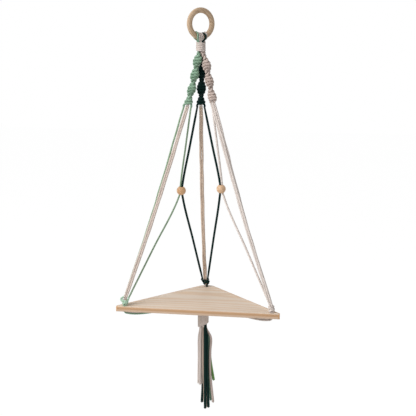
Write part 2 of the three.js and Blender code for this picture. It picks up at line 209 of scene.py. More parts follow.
ring.location = ring_centre
bpy.ops.object.transform_apply(location=True, rotation=True, scale=True)
bpy.ops.object.shade_smooth()
ring.data.materials.append(
    wood(
        "ring_wood", paint(0.79, 0.685, 0.57), paint(0.65, 0.535, 0.42), paint(0.50, 0.38, 0.28),
        band=0.0045, turned=(0, math.radians(62), ring_yaw), heart=(0.03, 0.02, -0.06),
    )
)
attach(ring, "ring")
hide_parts("ring")


# Cords folded over the ring
# Six twisted cotton cords lie side by side on the ring's bar: a mint one, a dark one and four white.
# Each hangs down on both sides of the bar and goes into the top wrap.
plies = 3
yarns = 15  # round the cord
yarn_twist = 2600  # radians per metre
cotton_relief = 0.0003


def cotton(name, light, shade, groove, sheen):
    """Twisted cotton: three plies of spun yarn. UV is the way round the cord, and metres along it."""
    finish = Finish(name, Sheen_Weight=sheen, Sheen_Roughness=0.5, Specular_IOR_Level=0.2)
    around, along, _ = finish.parts(finish.node("ShaderNodeUVMap", {"uv_map": "cord"}))
    crown = ((around * (2 * math.pi * plies) + math.pi / 2).sine() * 0.5 + 0.5) ** 0.4
    yarn = (around * (2 * math.pi * yarns) + along * yarn_twist).sine() * 0.5 + 0.5
    place = finish.placed()
    fluff = finish.noise(place, 1800, 3.0, 0.7)
    dye = finish.noise(place, 45, 2.0)
    # Painted shade: the colour runs to the groove colour in the valleys between the plies, with random fibre
    # flecks, and to the darker dye colour in random patches.
    color = finish.mix((1 - crown) * 0.6 + (fluff - 0.5) * 0.35, light, groove)
    color = finish.mix((dye - 0.35) * 0.9, color, shade)
    finish.show(color, 0.86 + fluff * 0.12, yarn * 0.35 + fluff * 0.65, cotton_relief)
    return finish.material


# Each cotton: its light colour, the darker colour of its uneven dye patches, its groove colour (painted shade
# between the plies) and its sheen.
cotton_paints = {
    "white": ((0.905, 0.865, 0.84), (0.82, 0.76, 0.72), (0.60, 0.49, 0.42), 0.12),
    "mint": ((0.63, 0.765, 0.67), (0.53, 0.665, 0.565), (0.28, 0.39, 0.26), 0.1),
    "dark": ((0.04, 0.18, 0.165), (0.025, 0.13, 0.12), (0.005, 0.04, 0.035), 0.0),
    # The rest are copies of the white, mint and dark cottons with painted light or shade: the sinnets and two
    # tails are painted darker, the mint strands olive, the left strands pinker and the back strands tan, and
    # the left knot and the right strands are painted paler. The taut white strands are painted paler than the
    # white sinnets.
    "white_sinnet": ((0.84, 0.775, 0.74), (0.70, 0.62, 0.575), (0.55, 0.46, 0.41), 0.1),
    "mint_sinnet": ((0.60, 0.725, 0.63), (0.46, 0.57, 0.475), (0.30, 0.40, 0.28), 0.08),
    "mint_knot_painted_light": ((0.78, 0.90, 0.81), (0.70, 0.83, 0.73), (0.42, 0.53, 0.40), 0.12),
    "left_strand": ((0.90, 0.84, 0.80), (0.83, 0.76, 0.715), (0.74, 0.66, 0.61), 0.12),
    "back_strand": ((0.92, 0.835, 0.76), (0.85, 0.75, 0.665), (0.76, 0.655, 0.565), 0.1),
    "right_strand": ((0.945, 0.905, 0.88), (0.88, 0.83, 0.795), (0.80, 0.74, 0.695), 0.12),
    "mint_strand": ((0.66, 0.77, 0.65), (0.56, 0.66, 0.53), (0.36, 0.44, 0.28), 0.1),
    "mint_tail": ((0.52, 0.70, 0.42), (0.44, 0.61, 0.33), (0.26, 0.42, 0.18), 0.06),
    "shaded_white_tail": ((0.76, 0.69, 0.63), (0.68, 0.60, 0.54), (0.44, 0.36, 0.30), 0.06),
}
cottons = {
    name: cotton(name + "_cotton", *(paint(*c) for c in colors), sheen)
    for name, (*colors, sheen) in cotton_paints.items()
}

cord_radius = 0.002
cord_step = 0.0011  # between rings of a cord's mesh
cord_lay = 0.0125  # length of one full turn of the plies
ply_shares = (1.0, 0.97, 0.87, 0.97) * plies  # the cord's outline, as shares of its radius
swell_reach = 0.03  # length in which a cord swells to its full thickness
askew = (0.31, 0.87, 0.38)  # a direction in which no cord starts
chance = np.random.default_rng(7)


def through(points, step=cord_step):
    """Evenly spaced points on a smooth curve through the given ones."""
    points = np.array(points, float)
    gaps = np.linalg.norm(np.diff(points, axis=0), axis=1)
    runs = np.diff(points, axis=0) / gaps[:, None]
    before, after = gaps[:-1, None], gaps[1:, None]
    inner = (runs[:-1] * after + runs[1:] * before) / (before + after)
    slopes = np.vstack([runs[:1], inner, runs[-1:]])
    places = np.concatenate([[0], np.cumsum(gaps)])
    count = max(2, round(places[-1] / step) + 1)
    spots = np.linspace(0, places[-1], count)
    index = np.clip(np.searchsorted(places, spots, "right") - 1, 0, len(gaps) - 1)
    gap = gaps[index][:, None]
    share = (spots - places[index])[:, None] / gap
    square, cube = share ** 2, share ** 3
    return (
        (2 * cube - 3 * square + 1) * points[index]
        + (cube - 2 * square + share) * gap * slopes[index]
        + (3 * square - 2 * cube) * points[index + 1]
        + (cube - square) * gap * slopes[index + 1]
    )


def cord_mesh(
    name, routes, material, radius=cord_radius, lay=cord_lay, swell=(1, 1, 1), loose=False, groove=1.0
):
    """Three-ply cord along each route, joined into one piece.

    It swells from both ends, or from its start alone if loose, by a share for each axis.
    The groove is the share of the full depth between its plies.
    """
    vertices, faces, turns = [], [], []
    sides = len(ply_shares)
    outline = (1 - (1 - np.array(ply_shares)) * groove) * radius
    for route in routes:
        forward = np.gradient(route, axis=0)
        forward /= np.linalg.norm(forward, axis=1)[:, None]
        side = np.cross(forward[0], askew)
        walked = np.concatenate([[0], np.cumsum(np.linalg.norm(np.diff(route, axis=0), axis=1))])
        first = len(vertices)
        start = chance.uniform(0, 2 * math.pi)
        for point, ahead, distance in zip(route, forward, walked):
            side = side - ahead * side.dot(ahead)
            side /= np.linalg.norm(side)
            lift = np.cross(ahead, side)
            angles = np.arange(sides) * (2 * math.pi / sides) + start + 2 * math.pi * distance / lay
            ring = outline[:, None] * (np.cos(angles)[:, None] * side + np.sin(angles)[:, None] * lift)
            held = distance if loose else min(distance, walked[-1] - distance)
            ring *= 1 + (np.array(swell) - 1) * min(1, held / swell_reach)
            vertices.extend((point + ring).tolist())
        for i in range(len(route) - 1):
            low, high = first + i * sides, first + (i + 1) * sides
            for j in range(sides):
                k = (j + 1) % sides
                faces.append((low + j, low + k, high + k, high + j))
                turns += [(j / sides, walked[i]), ((j + 1) / sides, walked[i])]
                turns += [((j + 1) / sides, walked[i + 1]), (j / sides, walked[i + 1])]
        last = first + (len(route) - 1) * sides
        vertices.extend([route[0].tolist(), route[-1].tolist()])
        for j in range(sides):
            k = (j + 1) % sides
            faces.append((len(vertices) - 2, first + k, first + j))
            faces.append((len(vertices) - 1, last + j, last + k))
            turns += [(j / sides, 0.0)] * 3 + [(j / sides, walked[-1])] * 3
    mesh = bpy.data.meshes.new(name)
    mesh.from_pydata(vertices, [], faces)
    layer = mesh.uv_layers.new(name="cord")
    layer.data.foreach_set("uv", np.array(turns, np.float32).ravel())
    mesh.shade_smooth()
    mesh.materials.append(material)
    piece = bpy.data.objects.new(name, mesh)
    bpy.context.collection.objects.link(piece)
    return piece


def cord_piece(name, routes, color, body, *nodes, radius=cord_radius, look=None, **shape):
    """A piece of cord that stands for the named solids."""
    piece = cord_mesh(name, routes, cottons[look or color], radius, **shape)
    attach(piece, body)
    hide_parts(*nodes)
    return piece


bar_along = np.array([math.cos(ring_yaw), math.sin(ring_yaw), 0])
bar_across = np.array([-math.sin(ring_yaw), math.cos(ring_yaw), 0])
top_wrap_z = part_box("top_wrap")[1].z
seat = 0.0003  # gap between a cord and what it rests on
loop_hug = ring_bar + seat + cord_radius
loop_radius = 0.00195
loop_step = 0.0008
loop_angles = np.radians([205, 180, 150, 120, 90, 60, 30, 0, -25])
over_wrap = 0.0005
into_wrap = 0.009
# Each loop: its cord, its place along the bar, and its front and back feet: along and across at the wrap
loops = {
    "mint_ring_loop": ("mint", -0.0126, (-0.0082, -0.0032), (-0.0062, 0.0048)),
    "white_ring_loop_1": ("white", -0.0082, (-0.0046, -0.0046), (-0.0040, 0.0050)),
    "white_ring_loop_2": ("white", -0.0040, (0.0024, -0.0046), (-0.0014, 0.0052)),
    "white_ring_loop_3": ("white", 0.0003, (-0.0022, -0.0054), (0.0012, 0.0052)),
    "dark_ring_loop": ("dark", 0.0052, (0.0008, -0.0076), (0.0036, 0.0050)),
    "white_ring_loop_4": ("white", 0.0104, (0.0066, -0.0030), (0.0062, 0.0046)),
}


def at_bar(along, across, z):
    return bar_along * along + bar_across * across + np.array([0, 0, z])


for name, (color, along, front, back) in loops.items():
    bar_z = ring_centre.z - math.sqrt(ring_radius ** 2 - along ** 2)
    points = [at_bar(*front, top_wrap_z - into_wrap), at_bar(*front, top_wrap_z + over_wrap)]
    for angle in loop_angles:
        points.append(at_bar(along, loop_hug * math.cos(angle), bar_z + loop_hug * math.sin(angle)))
    if color == "dark":
        # It is slack in front and stands off the bar
        points[2] = at_bar(along, -0.0102, bar_z - 0.0042)
        points[3] = at_bar(along + 0.0020, -0.0100, bar_z + 0.0006)
        points[4] = at_bar(along + 0.0014, -0.0082, bar_z + 0.0048)
    points += [at_bar(*back, top_wrap_z + over_wrap), at_bar(*back, top_wrap_z - into_wrap)]
    cord_piece(name + "_cord", [through(points, loop_step)], color, "hanger", name, radius=loop_radius)


# Top wrap
# One white cord is wound tightly round the twelve strands under the ring, and its ends are tucked inside.
# The strands run through it as a bundle.
wrap_pitch = 0.0038
wrap_cord = 0.0021
wrap_lay = 0.03
turn_points = 30
tuck_share = 0.55  # of the wrap's radius, where its cord's ends are tucked in
tuck_aside = 0.004


def wound(radius, top, bottom, centre_x=0.0, rise=0.0):
    """The wrap's own cord, with both ends tucked in. Its lower turns may rise to the right."""
    turns = (top - bottom) / wrap_pitch
    angles = np.linspace(0, 2 * math.pi * turns, round(turns * turn_points))
    shares = angles / angles[-1]
    height = top - (top - bottom) * shares + rise * shares ** 2 * (1 + np.cos(angles)) / 2
    coil = np.stack([centre_x + radius * np.cos(angles), radius * np.sin(angles), height], axis=1)
    centre = np.array([centre_x, 0, 0])

    def tucked(end, aside):
        return centre + (end - centre + (0, aside, 0)) * (tuck_share, tuck_share, 1)

    return np.vstack([tucked(coil[0], -tuck_aside), coil, tucked(coil[-1], tuck_aside)])


wrap_low, wrap_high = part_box("top_wrap")
top_wrap_radius = 0.0090
coil = wound(top_wrap_radius, wrap_high.z - wrap_cord, wrap_low.z + wrap_cord)
cord_piece("top_wrap_cord", [coil], "white", "hanger", "top_wrap", radius=wrap_cord, lay=wrap_lay)

strand_count = 12
bundle_reach = 0.0056
bundle_top, bundle_bottom = wrap_high.z - 0.0006, wrap_low.z + 0.0004
golden_angle = math.pi * (3 - math.sqrt(5))
straight_step = 0.004
inner_cord = 0.0019
routes = []
for i in range(strand_count):
    spread = bundle_reach * math.sqrt((i + 0.5) / strand_count)
    x, y = spread * math.cos(i * golden_angle), spread * math.sin(i * golden_angle)
    heights = (bundle_top, (bundle_top + bundle_bottom) / 2, bundle_bottom)
    routes.append(through([(x, y, z) for z in heights], straight_step))
cord_piece("gathered_cords_top_bundle", routes, "white", "hanger", "gathered_cords_top", radius=inner_cord)

# Spiral sinnets
# Three columns of half knots, always tied the same way, so that each column turns as it goes down.
# Two cords of one colour are tied round two white cords, which stay straight inside.
sinnet_top_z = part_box("mint_sinnet")[1].z
# A tying cord's reach from the middle, to the sides
tie_reaches = {"mint": 0.0082, "dark": 0.0088, "white": 0.0082}
tie_depth = 0.0031  # and to the front and back
tie_pitch = 0.0058
tie_cord = 0.0025
tie_lay = 0.02
first_tie = 0.0024  # drop from the sinnet's top
ends_share = 0.6  # of a pitch, left free of knots at the ends
neck_share = 0.46  # of the full width, at the sinnet's top
past_foot = 0.0025
filler_offset = 0.0017
filler_cord = 0.0018
filler_points = 30
tie_step = 0.0009
filler_step = 0.0018
# Where the four cords leave each sinnet, to the right and to the back of its middle
even_places = ((-0.008, 0), (-0.00215, 0), (0.00215, 0), (0.008, 0))
slot_places = {
    "mint": even_places,
    "dark": even_places,
    "white": ((-0.0034, 0.0044), (-0.0056, 0), (-0.0016, -0.0004), (0.0027, 0.0002)),
}
# Which of them the two tying cords and the two inner cords become, left one first
tie_slots = {"mint": (0, 3), "dark": (0, 3), "white": (1, 3)}
filler_slots = {"mint": (1, 2), "dark": (1, 2), "white": (2, 0)}
# One crossing of a tying cord, from the left side over the front: side, front and height shares
crossing_shares = (
    (-1.0, 0.0, 0.46), (-0.86, 0.62, 0.23), (-0.34, 1.0, 0.10), (0.30, 1.0, -0.10), (0.66, 0.74, -0.23),
    (0.82, 0.20, -0.37),
)
# Each sinnet: its middle line as x, y and drop, its drop to full width, its drop in half a turn,
# and the height of its lowest wide place over its foot
sinnets = {
    "mint": (
        (
            (-0.004, -0.0016, 0), (-0.0068, -0.0035, 0.0165), (-0.0164, -0.008, 0.0686),
            (-0.0285, -0.012, 0.1185),
        ),
        0.010, 0.0313, 0.0077,
    ),
    "dark": (((0, 0.0048, 0), (0.001, 0.0118, 0.040), (-0.0024, 0.018, 0.121)), 0.035, 0.036, 0.007),
    "white": (
        ((0.005, -0.0016, 0), (0.012, -0.0038, 0.0186), (0.0186, -0.0075, 0.055), (0.0294, -0.012, 0.108)),
        0.024, 0.0344, 0.0134,
    ),
}
feet = {color: np.array([x, y, sinnet_top_z - drop]) for color, ((*_, (x, y, drop)), *_) in sinnets.items()}


def half_knots(count, spiral):
    """The two tying cords' points through a column of half knots: side, front and drop in knots."""
    first, second = [], []
    for knot in range(count):
        hand = 1 if knot % 2 == 0 else -1
        front = hand if spiral else 1
        for side, ahead, height in crossing_shares:
            first.append((hand * side, front * ahead, knot - height))
            second.append((-hand * side, -front * ahead, knot - height))
    return first, second


for color, (middle, flare, half_turn, crest) in sinnets.items():
    foot_x, foot_y, foot_z = feet[color]
    xs, ys, drops = np.array(middle).T
    length = drops[-1]
    count = round(length / tie_pitch) - 1
    pitch = (length - ends_share * tie_pitch) / count

    def in_sinnet(side, ahead, z):
        drop = sinnet_top_z - z
        angle = -math.pi * max(0, length - drop - crest) / half_turn
        across = np.array([math.cos(angle), math.sin(angle)])
        front = np.array([math.sin(angle), -math.cos(angle)])
        centre = np.array([np.interp(drop, drops, xs), np.interp(drop, drops, ys)])
        return np.append(centre + across * side + front * ahead, z)

    routes = []
    for hand, shares in zip((-1, 1), half_knots(count, True)):
        points = [
            in_sinnet(hand * 0.0015, 0, sinnet_top_z + 0.008),
            in_sinnet(hand * 0.0020, 0, sinnet_top_z + 0.002),
        ]
        for side, ahead, drop in shares:
            z = sinnet_top_z - first_tie - drop * pitch
            grown = neck_share + (1 - neck_share) * min(1, max(0, (sinnet_top_z - z) / flare))
            reach, depth = tie_reaches[color] * grown, tie_depth * min(1, grown + 0.1)
            points.append(in_sinnet(side * reach, -ahead * depth, z))
        end_hand = hand if count % 2 == 0 else -hand
        aside, behind = slot_places[color][tie_slots[color][0 if end_hand < 0 else 1]]
        points.append((foot_x + aside + end_hand * 0.0008, foot_y + behind, foot_z + 0.0014))
        points.append((foot_x + aside, foot_y + behind, foot_z - past_foot))
        routes.append(through(points, tie_step))
    # The white and mint sinnets take darker copies of their cottons: painted shade.
    look = color if color == "dark" else color + "_sinnet"
    cord_piece(
        color + "_sinnet_ties", routes, color, "shelf", color + "_sinnet",
        radius=tie_cord, lay=tie_lay, swell=(1, 1, 1.3), groove=0.3, look=look,
    )
    routes = []
    for hand in (-1, 1):
        heights = np.linspace(sinnet_top_z + 0.006, foot_z, filler_points)
        points = [in_sinnet(hand * filler_offset, 0, z) for z in heights[:-1]]
        aside, behind = slot_places[color][filler_slots[color][0 if hand < 0 else 1]]
        points.append((foot_x + aside, foot_y + behind, foot_z - past_foot))
        routes.append(through(points, filler_step))
    cord_piece(color + "_sinnet_fillers", routes, "white", "shelf", color + "_sinnet", radius=filler_cord)


# Board
# A right-angled triangle of pale solid wood, with its tips cut off square, its back corner rounded, a hole
# near each corner and sanded edges. Its grain runs along the front edge, and its short sides face the walls.
board_low, board_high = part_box("shelf_board")
board_top, board_bottom = board_high.z, board_low.z
board_leg = 0.284  # each short side, before the corners are shaped
tip_cut = 0.0098
half_front = round(board_leg / math.sqrt(2), 6)
tip_x = half_front - tip_cut
front_y = -half_front / 3
apex_y = front_y + half_front
hole_radius = 0.0054
drill_length = 0.04
hole_inset = 0.012  # from both edges, at the tips
hole_x = round(half_front - hole_inset * (1 + math.sqrt(2)), 6)
hole_y = front_y + hole_inset
holes = {"left": (-hole_x, hole_y), "back": (-0.0024, 0.111695), "right": (hole_x, hole_y)}
bpy.ops.mesh.primitive_circle_add(vertices=3, radius=apex_y, fill_type="NGON", location=(0, 0, board_bottom))
board = bpy.context.object
board.name = "corner_board"
wider = half_front / (apex_y * math.cos(math.pi / 6))
bpy.ops.transform.resize(value=(wider, 1, 1), center_override=(0, 0, board_bottom))
bpy.ops.object.transform_apply(location=True, rotation=True, scale=True)
bpy.ops.object.mode_set(mode="EDIT")
for side in (-1, 1):
    bpy.ops.mesh.select_all(action="SELECT")
    bpy.ops.mesh.bisect(plane_co=(side * tip_x, 0, 0), plane_no=(side, 0, 0), clear_outer=True)
bpy.ops.mesh.select_all(action="SELECT")
bpy.ops.mesh.extrude_region_move(TRANSFORM_OT_translate={"value": (0, 0, board_top - board_bottom)})
bpy.ops.mesh.select_all(action="SELECT")
bpy.ops.mesh.normals_make_consistent(inside=False)
# Tangent lengths of the rounds: at the tips' front, at their back, and at the back corner
for tangent, chosen in (
    (0.0030, lambda x, y: abs(x) > 0.1 and y < front_y + 0.001),
    (0.00124, lambda x, y: abs(x) > 0.1 and y > front_y + 0.008),
    (0.0270, lambda x, y: abs(x) < 0.01),
):
    bpy.ops.mesh.select_all(action="DESELECT")
    bpy.ops.object.mode_set(mode="OBJECT")
    places = board.data.vertices
    for edge in board.data.edges:
        a, b = (places[i].co for i in edge.vertices)
        edge.select = abs(a.z - b.z) > (board_top - board_bottom) / 2 and chosen(a.x, a.y)
    bpy.ops.object.mode_set(mode="EDIT")
    bpy.ops.mesh.select_mode(type="EDGE")
    bpy.ops.mesh.bevel(offset_type="ABSOLUTE", offset=tangent, segments=12, profile=0.5)
bpy.ops.object.mode_set(mode="OBJECT")
for hole in holes.values():
    place = (*hole, (board_top + board_bottom) / 2)
    bpy.ops.mesh.primitive_cylinder_add(vertices=40, radius=hole_radius, depth=drill_length, location=place)
    drill = bpy.context.object
    bpy.context.view_layer.objects.active = board
    cut = board.modifiers.new("hole", "BOOLEAN")
    cut.object = drill
    cut.operation = "DIFFERENCE"
    bpy.ops.object.select_all(action="DESELECT")
    board.select_set(True)
    bpy.ops.object.modifier_apply(modifier=cut.name)
    bpy.data.objects.remove(drill)
sanding = board.modifiers.new("sanded_edges", "BEVEL")
sanding.width = 0.0011
sanding.segments = 3
sanding.limit_method = "ANGLE"
sanding.angle_limit = math.radians(50)
bpy.ops.object.modifier_apply(modifier=sanding.name)
bpy.ops.object.shade_smooth_by_angle(angle=math.radians(35))


def board_edges(finish, color):
    """The front edge is browner in its upper half, and the other edges show the darker ends of the grain."""
    x, y, z = finish.parts(finish.placed())
    front = 1 - y.between(front_y + 0.0006, front_y + 0.0020)
    upper = z.between(board_bottom + 0.0045, board_bottom + 0.0075)
    color = finish.mix(front * 0.8, color, paint(0.80, 0.675, 0.565))
    color = finish.mix(front * upper * 0.85, color, paint(0.76, 0.595, 0.44))
    aside = x.math("ABSOLUTE", x)
    ends = (aside + y).between(half_front + front_y - 0.0032, half_front + front_y - 0.0010)
    color = finish.mix(ends * 0.85, color, paint(0.84, 0.62, 0.41))
    tips = aside.between(tip_x - 0.0048, tip_x - 0.0012)
    return finish.mix(tips * 0.8, color, paint(0.82, 0.62, 0.41))


board.data.materials.append(
    wood(
        "board_wood", paint(0.935, 0.865, 0.795), paint(0.90, 0.785, 0.67), paint(0.78, 0.65, 0.51),
        band=0.0105, heart=(0, 0.045, board_bottom - 0.055), bands=0.85, tint=board_edges,
    )
)
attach(board, "shelf")
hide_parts("shelf_board")

# Square knots
# Above each hole two cords are tied once to the front and once to the back round two white cords.
# The knot stops the cords from sliding down, and the board hangs on the strands below it.
knot_cord = 0.0024
knot_filler_step = 0.0015
# Painted light: the left knot takes a paler copy of the mint cotton and the right knot the right strands'
# paler copy; the back knot keeps the dark cotton.
knot_looks_with_painted_light = {"left": "mint_knot_painted_light", "back": "dark", "right": "right_strand"}
# The drop to each knot's first crossing, and from there to the next, as shares of the knot's height
knot_shares = {"left": (0.40, 0.31), "back": (0.20, 0.40), "right": (0.20, 0.40)}
# Each knot: its cord, its lift over the board, its height, its left and right reach above and below, its lean
# and its turn
knots = {
    "left": ("mint", 0.003, 0.016, (0.0116, 0.0066, 0.0056, 0.0066), 0.0028, math.radians(-10)),
    "back": ("dark", 0.0065, 0.0125, (0.0086, 0.0080, 0.0074, 0.0078), -0.0027, math.radians(6)),
    "right": ("white", 0.0025, 0.012, (0.0056, 0.0050, 0.0044, 0.0056), -0.0010, math.radians(8)),
}
square_depth = 0.0040
# Each corner's four strands over its knot: their places to the side and to the back
rows = {
    "left": ((-0.0046, 0.0038), (-0.0036, -0.0010), (0.0008, -0.0010), (0.00645, 0)),
    "back": ((-0.00645, 0), (-0.00215, 0), (0.00215, 0), (0.00645, 0)),
    "right": ((-0.0022, 0.0022), (-0.0022, -0.0022), (0.0022, -0.0022), (0.0022, 0.0022)),
}
for corner, (color, lift, height, reaches, lean, turned) in knots.items():
    hole_x, hole_y = holes[corner]
    foot_z = board_top + lift
    knot_top = foot_z + height
    cosine, sine = math.cos(turned), math.sin(turned)

    def in_knot(side, ahead, z):
        middle = hole_x + lean * max(0, (z - foot_z) / height) ** 2
        return (middle + cosine * side + sine * ahead, hole_y + sine * side - cosine * ahead, z)

    routes = []
    first_share, pitch_share = knot_shares[corner]
    for hand, shares in zip((-1, 1), half_knots(2, False)):
        aside, behind = rows[corner][0 if hand < 0 else 3]
        points = [(hole_x + lean + aside, hole_y + behind, knot_top + 0.0020)]
        for i, (side, ahead, drop) in enumerate(shares):
            reach = reaches[(0 if i < len(crossing_shares) else 2) + (0 if side < 0 else 1)]
            z = knot_top - (first_share + drop * pitch_share) * height
            points.append(in_knot(side * reach, ahead * square_depth, z))
        points.append(in_knot(hand * 0.0052, 0.0002, foot_z + 0.14 * height))
        points.append(in_knot(hand * 0.0028, 0.0008, foot_z - 0.0008))
        points.append(in_knot(hand * 0.0024, 0.0010, foot_z - 0.0035))
        routes.append(through(points, tie_step))
    look = knot_looks_with_painted_light[corner]
    cord_piece(corner + "_square_knot", routes, color, "shelf", corner + "_knot", radius=knot_cord, look=look)
    routes = []
    for hand in (-1, 1):
        aside, behind = rows[corner][1 if hand < 0 else 2]
        points = [
            (hole_x + lean + aside, hole_y + behind, knot_top + 0.0020),
            in_knot(hand * 0.0019, 0.0006, knot_top - 0.003),
            in_knot(hand * 0.0019, 0.0012, foot_z + height / 2),
            in_knot(hand * 0.0016, 0.0002, foot_z + 0.002),
            in_knot(hand * 0.0016, -0.0004, foot_z - 0.0035),
        ]
        routes.append(through(points, knot_filler_step))
    # The fillers take their corner's strand copy: painted light on the right, painted shade on the left and
    # back.
    look = corner + "_strand"
    cord_piece(
        corner + "_knot_fillers", routes, "white", "shelf", corner + "_knot", radius=inner_cord, look=look
    )

# Strands
# Four cords run from each sinnet to its corner: eight go straight down, and two pairs share the two beads.
# Each is held at both ends by its knots and hangs nearly straight under the board's weight.
bead_places = {}
for name in ("left", "right"):
    low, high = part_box(name + "_bead")
    bead_places[name] = (low + high) / 2
bead_radius = 0.0108
bore_offset = 0.00215  # from the bore's middle to each of its two cords
drawn_aside = 0.0013  # at a bead's lower mouth, by a cord that runs to a tip
bead_bend = 0.006  # length over which a cord bends at a bead's mouth
strand_radius = 0.00212
strand_lay = 0.009
wander_reach = 0.0004
wander_period = 0.03
upright_wander = 0.2  # as a share of the level one
swells = {"white": 1.18, "mint": 1.0, "dark": 1.28}
sags = {"left": (0.0034, 0.001, 0), "back": (-0.0018, -0.002, 0), "right": (-0.0033, 0.0012, 0)}
own_sags = {"right_white_strand_3": (-0.0021, 0.0038, 0)}
sag_share = 0.62  # of the way down, where a strand sags most
# Each strand: its cord, its sinnet and place there, its corner and place there, and its bead and side there
strands = {
    "left_mint_strand": ("mint", "mint", 0, "left", 0, None, 0),
    "left_white_strand_1": ("white", "mint", 1, "left", 1, None, 0),
    "left_white_strand_2": ("white", "mint", 2, "left", 2, None, 0),
    "left_beaded_mint_strand": ("mint", "mint", 3, "left", 3, "left", -1),
    "back_beaded_dark_strand_left": ("dark", "dark", 0, "back", 0, "left", 1),
    "back_white_strand_1": ("white", "dark", 1, "back", 1, None, 0),
    "back_white_strand_2": ("white", "dark", 2, "back", 2, None, 0),
    "back_beaded_dark_strand_right": ("dark", "dark", 3, "back", 3, "right", -1),
    "right_beaded_white_strand": ("white", "white", 0, "right", 0, "right", 1),
    "right_white_strand_1": ("white", "white", 1, "right", 1, None, 0),
    "right_white_strand_2": ("white", "white", 2, "right", 2, None, 0),
    "right_white_strand_3": ("white", "white", 3, "right", 3, None, 0),
}


def wandering(route):
    """The route with small smooth wanders, none at its ends."""
    length = len(route) * cord_step
    count = max(4, round(length / wander_period) + 1)
    sways = chance.normal(0, wander_reach, (count, 3))
    sways[0] = sways[-1] = 0
    sways[:, 2] *= upright_wander
    place = np.linspace(0, count - 1, len(route))
    low = np.minimum(place.astype(int), count - 2)
    share = (place - low)[:, None]
    share = share * share * (3 - 2 * share)
    return route + sways[low] * (1 - share) + sways[low + 1] * share


for name, (color, sinnet, slot, corner, row, bead, bead_side) in strands.items():
    _, lift, height, _, lean, _ = knots[corner]
    hole_x, hole_y = holes[corner]
    start = feet[sinnet] + (*slot_places[sinnet][slot], -seat)
    aside, behind = rows[corner][row]
    end = np.array([hole_x + lean + aside, hole_y + behind, board_top + lift + height + seat])
    if bead:
        x, y, z = bead_places[bead]
        x += bead_side * bore_offset
        below_x = x + (0 if color == "dark" else bead_side * drawn_aside)
        above, below = np.array([x, y, z + bead_radius]), np.array([below_x, y, z - bead_radius])
        before = above + (start - above) / np.linalg.norm(start - above) * bead_bend
        after = below + (end - below) / np.linalg.norm(end - below) * bead_bend
        points = [start, (start + before) / 2, before, above - (0, 0, 0.002), (above + below) / 2]
        points += [below + (0, 0, 0.002), after, (after + end) / 2, end]
        route = through(points)
    else:
        low = start + (end - start) * sag_share + sags[corner] + own_sags.get(name, (0, 0, 0))
        route = wandering(through([start, low, end]))
    # White strands take their corner's copy, painted light on the right and painted shade on the left and
    # back; the mint strands take an olive copy, painted shade.
    look = {"white": corner + "_strand", "mint": "mint_strand", "dark": "dark"}[color]
    cord_piece(
        name + "_cord", [route], color, "shelf", name,
        radius=strand_radius, lay=strand_lay, swell=[swells[color]] * 3, groove=0.4, look=look,
    )


# Beads
# Two turned wooden beads, each with a straight hole that two cords share, one from each neighbouring sinnet.
# The cords pinch them, so they stay where they are pushed.
bead_bore = 0.0046
mouth_height = math.sqrt(bead_radius ** 2 - bead_bore ** 2)  # over the bead's middle
bead_paints = {
    "left": (paint(0.90, 0.735, 0.565), paint(0.79, 0.575, 0.38)),
    "right": (paint(0.91, 0.775, 0.635), paint(0.82, 0.635, 0.47)),
}
for name, place in bead_places.items():
    bpy.ops.object.select_all(action="DESELECT")
    bpy.ops.mesh.primitive_uv_sphere_add(segments=48, ring_count=32, radius=bead_radius, location=place)
    bead = bpy.context.object
    bead.name = name + "_wooden_bead"
    bpy.ops.object.transform_apply(location=True, rotation=True, scale=True)
    bpy.ops.object.mode_set(mode="EDIT")
    for side in (-1, 1):
        bpy.ops.mesh.select_all(action="SELECT")
        mouth = (place.x, place.y, place.z + side * mouth_height)
        bpy.ops.mesh.bisect(plane_co=mouth, plane_no=(0, 0, side), clear_outer=True)
    bpy.ops.mesh.select_mode(type="EDGE")
    bpy.ops.mesh.select_all(action="DESELECT")
    bpy.ops.mesh.select_non_manifold()
    bpy.ops.mesh.bridge_edge_loops()
    bpy.ops.mesh.select_all(action="SELECT")
    bpy.ops.mesh.normals_make_consistent(inside=False)
    bpy.ops.object.mode_set(mode="OBJECT")
    softened = bead.modifiers.new("softened_mouth", "BEVEL")
    softened.width = 0.0006
    softened.segments = 3
    softened.limit_method = "ANGLE"
    softened.angle_limit = math.radians(50)
    bpy.ops.object.modifier_apply(modifier=softened.name)
    bpy.ops.object.shade_smooth_by_angle(angle=math.radians(40))
    bead.data.materials.append(
        wood(
            name + "_bead_wood", *bead_paints[name], paint(0.66, 0.45, 0.30), band=0.0032,
            turned=(0, math.radians(90), 0), heart=(place.x + 0.02, place.y + 0.012, place.z), coat=0.35,
        )
    )
    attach(bead, "shelf")
    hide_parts(name + "_bead")

